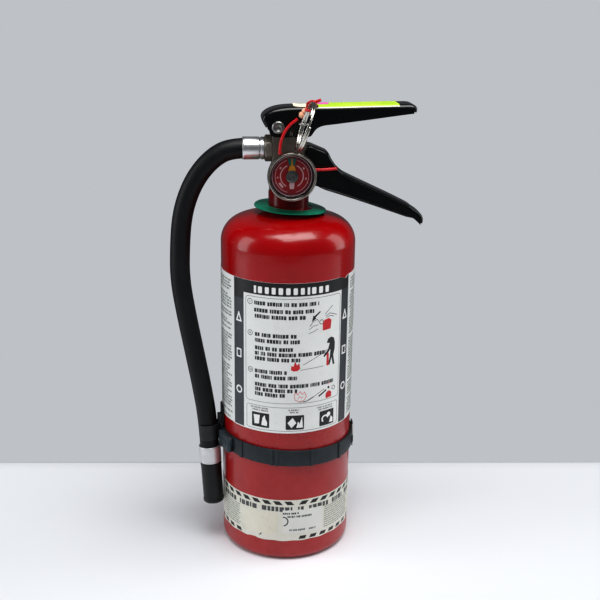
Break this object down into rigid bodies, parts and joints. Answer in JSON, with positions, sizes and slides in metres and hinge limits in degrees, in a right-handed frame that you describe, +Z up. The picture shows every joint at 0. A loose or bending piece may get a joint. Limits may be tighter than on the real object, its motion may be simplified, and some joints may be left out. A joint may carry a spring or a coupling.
{
  "type": "fire extinguisher",
  "caption": "Hand-held dry-chemical fire extinguisher: red steel cylinder, cast valve, squeeze lever and handle, gauge, pull pin, hose and nozzle held by a strap clip.",
  "frame": {"origin": "centre of the base on the cylinder axis, on the plane it stands on", "axes": "+Z up along the cylinder axis, -Y towards the front where the gauge and the label face, +X towards the lever and handle tips, -X towards the hose"},
  "size_m": [0.2025, 0.1141, 0.3766],
  "materials": {
    "red_paint": "glossy red enamel, lightly scuffed near the base",
    "green_collar": "thin moulded teal-green plastic disc, semi-gloss",
    "powder": "fine pale yellow dry-chemical powder, hidden",
    "label_film": "white printed film with dark bands and greeked text, slightly aged",
    "sticker_paper": "weathered matt paper remnant, torn edges",
    "lever_sticker": "chartreuse printed sticker with a magenta end, worn and peeling",
    "strap_rubber": "dark slate moulded strap, satin",
    "black_plastic": "black moulded plastic, satin",
    "cast_valve": "bead-blasted die-cast aluminium, grey, slightly oxidised",
    "bright_metal": "bright turned steel, crimped, light scratches",
    "rivet_steel": "plated steel rivets and pin, dull",
    "ring_chrome": "bright nickel-plated spring wire",
    "stem_brass": "turned brass",
    "spring_steel": "spring wire, hidden",
    "seal_rubber": "black nitrile",
    "siphon_plastic": "natural polymer tube, hidden",
    "hose_rubber": "matt black rubber hose with light scuffs",
    "lever_paint": "gloss black enamel on pressed steel, worn at the edges",
    "gauge_metal": "nickel-plated pressed steel",
    "gauge_brass": "bronze strip, hidden behind the dial",
    "gauge_lens": "clear moulded window",
    "dial_print": "printed dial plate: red field, green sector, white marks",
    "hub_grey": "brushed grey hub cap",
    "needle_amber": "amber painted pointer",
    "seal_plastic": "red pull-tight seal strand",
    "seal_lock_plastic": "peach coloured moulded lock"
  },
  "bodies": {
    "root": {"cylinder_shell": "red_paint", "neck_collar": "red_paint", "dry_chemical_charge": "powder", "instruction_label": "label_film", "lower_label": "label_film", "service_sticker": "sticker_paper", "worn_sticker": "sticker_paper", "hose_strap": "strap_rubber", "strap_buckle": "black_plastic", "hose_clip": "black_plastic", "valve_body": "cast_valve", "neck_o_ring": "seal_rubber", "siphon_tube": "siphon_plastic", "stem_spring": "spring_steel", "gauge_case": "gauge_metal", "gauge_bezel": "gauge_metal", "gauge_lens": "gauge_lens", "gauge_dial": "dial_print", "gauge_hub": "hub_grey", "gauge_bourdon_tube": "gauge_brass", "carry_handle": "lever_paint", "handle_rivets": "rivet_steel", "lever_pivot_rivet": "rivet_steel", "seal_strand": "seal_plastic", "hose_coupling_nut": "cast_valve", "coupling_gasket": "seal_rubber", "upper_ferrule": "bright_metal", "hose_insert": "stem_brass", "discharge_hose": "hose_rubber"},
    "lever": {"operating_lever": "lever_paint", "lever_label": "lever_sticker"},
    "stem": {"valve_stem": "stem_brass", "stem_seat_seal": "seal_rubber", "stem_o_ring": "seal_rubber"},
    "pin": {"pull_pin": "rivet_steel"},
    "ring": {"pull_ring": "ring_chrome", "seal_lock": "seal_lock_plastic", "seal_loop": "seal_plastic"},
    "needle": {"gauge_needle": "needle_amber"},
    "collar": {"service_collar": "green_collar"},
    "nozzle": {"nozzle_ferrule": "bright_metal", "nozzle": "black_plastic"}
  },
  "joints": [
    {"name": "lever_squeeze", "type": "hinge", "parent": "root", "child": "lever", "pos_m": [-0.0096, 0, 0.3533], "axis": [0, 1, 0], "range_deg": [0, 14], "stiffness_Nm_per_rad": 1.5, "springref_deg": -5.73},
    {"name": "stem_press", "type": "slide", "parent": "root", "child": "stem", "axis": [0, 0, -1], "range_m": [0, 0.0026], "deforming": ["stem_spring"]},
    {"name": "pin_pull", "type": "slide", "parent": "root", "child": "pin", "axis": [0, -1, 0], "range_m": [0, 0.045]},
    {"name": "ring_swing", "type": "hinge", "parent": "pin", "child": "ring", "pos_m": [0.009, -0.02, 0.357], "axis": [0, 0, 1], "range_deg": [-55, 60]},
    {"name": "needle_turn", "type": "hinge", "parent": "root", "child": "needle", "pos_m": [0, -0.0285, 0.3186], "axis": [0, 1, 0], "range_deg": [-80, 80], "stiffness_Nm_per_rad": 0.001},
    {"name": "service_collar_spin", "type": "hinge", "parent": "root", "child": "collar", "pos_m": [0, 0, 0.289], "axis": [0, 0, 1], "continuous": true},
    {"name": "hose_swing", "type": "hinge", "parent": "root", "child": "nozzle", "pos_m": [-0.064, -0.009, 0.325], "axis": [-0.139, 0.9903, 0], "range_deg": [0, 40], "stiffness_Nm_per_rad": 0.25, "deforming": ["discharge_hose"]}
  ],
  "couplings": [
    {"joint": "stem_press", "follows": "lever_squeeze", "m_per_rad": 0.0096}
  ]
}
